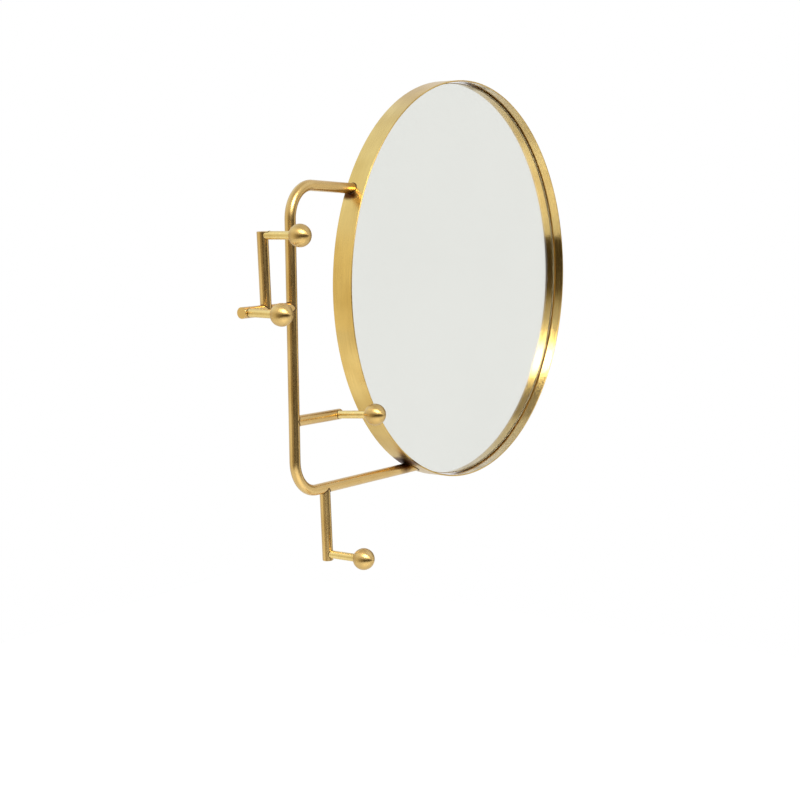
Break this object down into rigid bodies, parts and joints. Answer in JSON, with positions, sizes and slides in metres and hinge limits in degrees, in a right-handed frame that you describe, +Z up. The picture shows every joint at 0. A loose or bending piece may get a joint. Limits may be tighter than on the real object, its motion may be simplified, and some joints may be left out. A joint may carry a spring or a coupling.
{
  "type": "wall mirror with hooks",
  "caption": "Round wall mirror set back in a thin drum-shaped brass frame, with a bent tube at its left side whose branches carry ball-ended hooks.",
  "frame": {"origin": "centre of the round frame, on the wall plane", "axes": "+Z up, +X to the right as seen from the room, +Y into the wall; the mirror faces -Y"},
  "size_m": [0.8115, 0.0918, 0.6786],
  "materials": {
    "brass": "satin, brushed round the band",
    "tube_brass": "satin, brushed along the tube",
    "turned_brass": "fine turned satin",
    "mirror_glass": "silvered, ground edge",
    "foam_tape": "foam",
    "backing_board": "plain fibreboard",
    "zinc_steel": "zinc plated",
    "screw_steel": "zinc plated"
  },
  "bodies": {
    "root": {"frame_band": "brass", "mirror_glass": "mirror_glass", "bonding_tape": "foam_tape", "backing_panel": "backing_board", "panel_tabs": "zinc_steel", "tab_screws": "screw_steel", "hanger_plate_left": "zinc_steel", "hanger_plate_right": "zinc_steel", "hanger_screws": "screw_steel", "side_rail": "tube_brass", "upper_arm": "tube_brass", "upper_arm_cap": "tube_brass", "upper_arm_peg": "turned_brass", "upper_arm_ball": "turned_brass", "upper_post": "tube_brass", "upper_post_cap": "tube_brass", "upper_post_peg": "turned_brass", "upper_post_ball": "turned_brass", "middle_arm": "tube_brass", "middle_arm_cap": "tube_brass", "middle_arm_peg": "turned_brass", "middle_arm_ball": "turned_brass", "lower_drop": "tube_brass", "lower_drop_cap": "tube_brass", "lower_drop_peg": "turned_brass", "lower_drop_ball": "turned_brass"}
  },
  "joints": []
}
